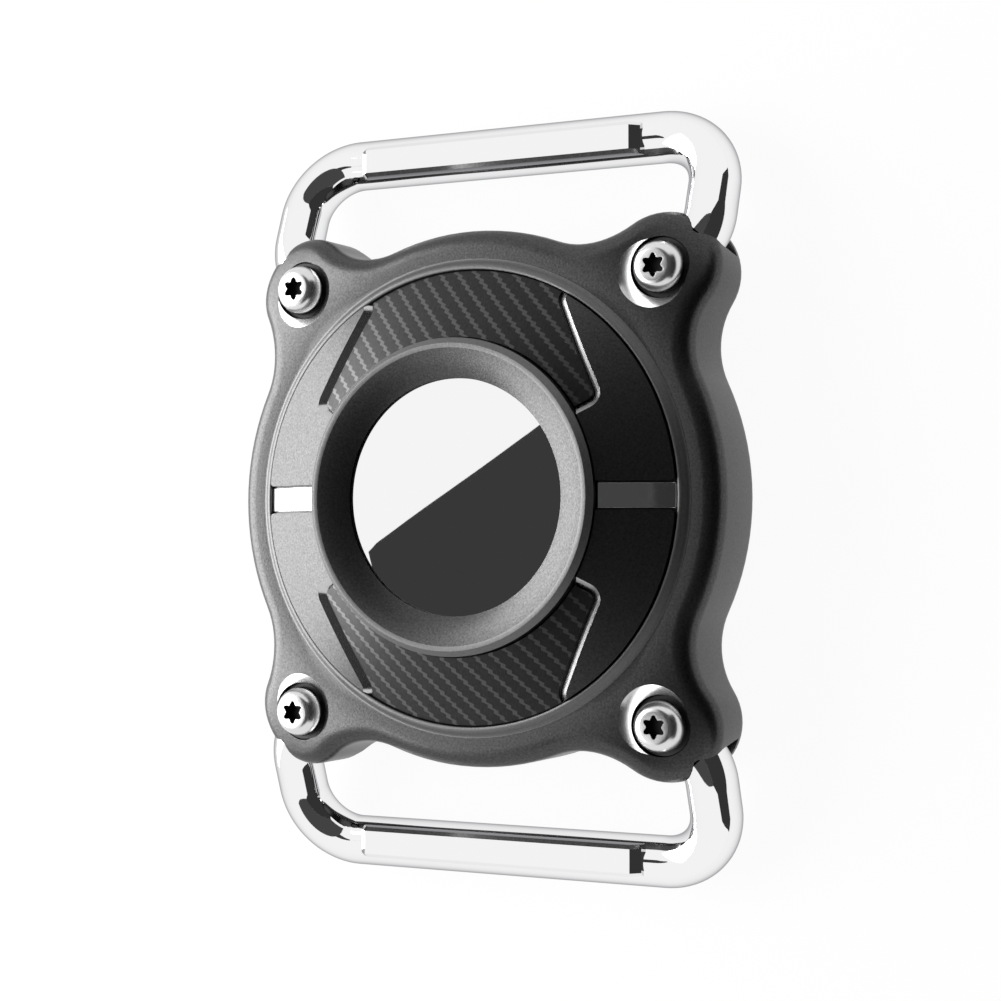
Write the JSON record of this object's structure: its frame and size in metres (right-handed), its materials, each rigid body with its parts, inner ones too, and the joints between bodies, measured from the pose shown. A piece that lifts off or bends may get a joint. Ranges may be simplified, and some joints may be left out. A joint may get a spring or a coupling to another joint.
{
  "type": "tracker tag holder",
  "caption": "Screwed holder for a round tracker tag: lobed crowned housing, raised window disc with carbon inlays, and a chrome wire strap loop at each end.",
  "frame": {"origin": "centre of the housing, on the lowest line of the two loop bars, which the holder lies on", "axes": "+Z toward the window, +Y along the length toward the upper strap loop, +X to the right when the window is looked at with +Y up"},
  "size_m": [0.0574, 0.0826, 0.0178],
  "materials": {
    "anodised_body": "bead-blasted, dark grey anodised",
    "carbon_twill": "woven twill under clear lacquer",
    "polished_trim": "polished",
    "chromed_wire": "mirror chrome",
    "screw_steel": "fine turned",
    "black_nylon": "matt",
    "brass": "turned",
    "seal_rubber": "matt",
    "cradle_silicone": "soft matt",
    "white_plastic": "gloss",
    "polished_steel": "mirror polished",
    "cell_steel": "satin",
    "gold_contact": "gold plated",
    "circuit_board": "solder mask"
  },
  "bodies": {
    "rear": {"rear_cover": "anodised_body", "strap_loop_upper": "chromed_wire", "strap_loop_lower": "chromed_wire", "threaded_inserts": "brass", "cover_seal": "seal_rubber", "tag_cradle": "cradle_silicone"},
    "front": {"front_cover": "anodised_body", "centre_disc": "anodised_body", "window_ring": "anodised_body", "carbon_inlay_upper": "carbon_twill", "carbon_inlay_lower": "carbon_twill", "accent_bar_left": "polished_trim", "accent_bar_right": "polished_trim", "window_seal": "seal_rubber"},
    "tag": {"tag_shell": "white_plastic", "coin_cell": "cell_steel", "battery_contacts": "gold_contact", "tag_circuit_board": "circuit_board", "tag_sounder": "cell_steel"},
    "tag_cap": {"tag_battery_cover": "polished_steel"},
    "washer_ul": {"washer_upper_left": "black_nylon"},
    "washer_ur": {"washer_upper_right": "black_nylon"},
    "washer_ll": {"washer_lower_left": "black_nylon"},
    "washer_lr": {"washer_lower_right": "black_nylon"},
    "screw_ul": {"screw_upper_left": "screw_steel"},
    "screw_ur": {"screw_upper_right": "screw_steel"},
    "screw_ll": {"screw_lower_left": "screw_steel"},
    "screw_lr": {"screw_lower_right": "screw_steel"}
  },
  "joints": [
    {"name": "cover_lift", "type": "slide", "parent": "rear", "child": "front", "axis": [0, 0, 1], "range_m": [0, 0.024]},
    {"name": "tag_lift", "type": "slide", "parent": "rear", "child": "tag", "axis": [0, 0, 1], "range_m": [0, 0.012]},
    {"name": "battery_cover_twist", "type": "hinge", "parent": "tag", "child": "tag_cap", "pos_m": [0, 0, 0.0155], "axis": [0, 0, 1], "range_deg": [0, 15]},
    {"name": "washer_ul_rise", "type": "slide", "parent": "front", "child": "washer_ul", "axis": [0, 0, 1], "range_m": [0, 0.003]},
    {"name": "screw_ul_turn", "type": "hinge", "parent": "washer_ul", "child": "screw_ul", "pos_m": [-0.02149, 0.02343, 0.0108], "axis": [0, 0, 1], "range_deg": [0, 2160]},
    {"name": "washer_ur_rise", "type": "slide", "parent": "front", "child": "washer_ur", "axis": [0, 0, 1], "range_m": [0, 0.003]},
    {"name": "screw_ur_turn", "type": "hinge", "parent": "washer_ur", "child": "screw_ur", "pos_m": [0.02149, 0.02343, 0.0108], "axis": [0, 0, 1], "range_deg": [0, 2160]},
    {"name": "washer_ll_rise", "type": "slide", "parent": "front", "child": "washer_ll", "axis": [0, 0, 1], "range_m": [0, 0.003]},
    {"name": "screw_ll_turn", "type": "hinge", "parent": "washer_ll", "child": "screw_ll", "pos_m": [-0.02149, -0.02343, 0.0108], "axis": [0, 0, 1], "range_deg": [0, 2160]},
    {"name": "washer_lr_rise", "type": "slide", "parent": "front", "child": "washer_lr", "axis": [0, 0, 1], "range_m": [0, 0.003]},
    {"name": "screw_lr_turn", "type": "hinge", "parent": "washer_lr", "child": "screw_lr", "pos_m": [0.02149, -0.02343, 0.0108], "axis": [0, 0, 1], "range_deg": [0, 2160]}
  ],
  "couplings": [
    {"joint": "tag_lift", "follows": "cover_lift", "ratio": 0.5},
    {"joint": "screw_ul_turn", "follows": "washer_ul_rise", "rad_per_m": 12566},
    {"joint": "screw_ur_turn", "follows": "washer_ur_rise", "rad_per_m": 12566},
    {"joint": "screw_ll_turn", "follows": "washer_ll_rise", "rad_per_m": 12566},
    {"joint": "screw_lr_turn", "follows": "washer_lr_rise", "rad_per_m": 12566}
  ]
}
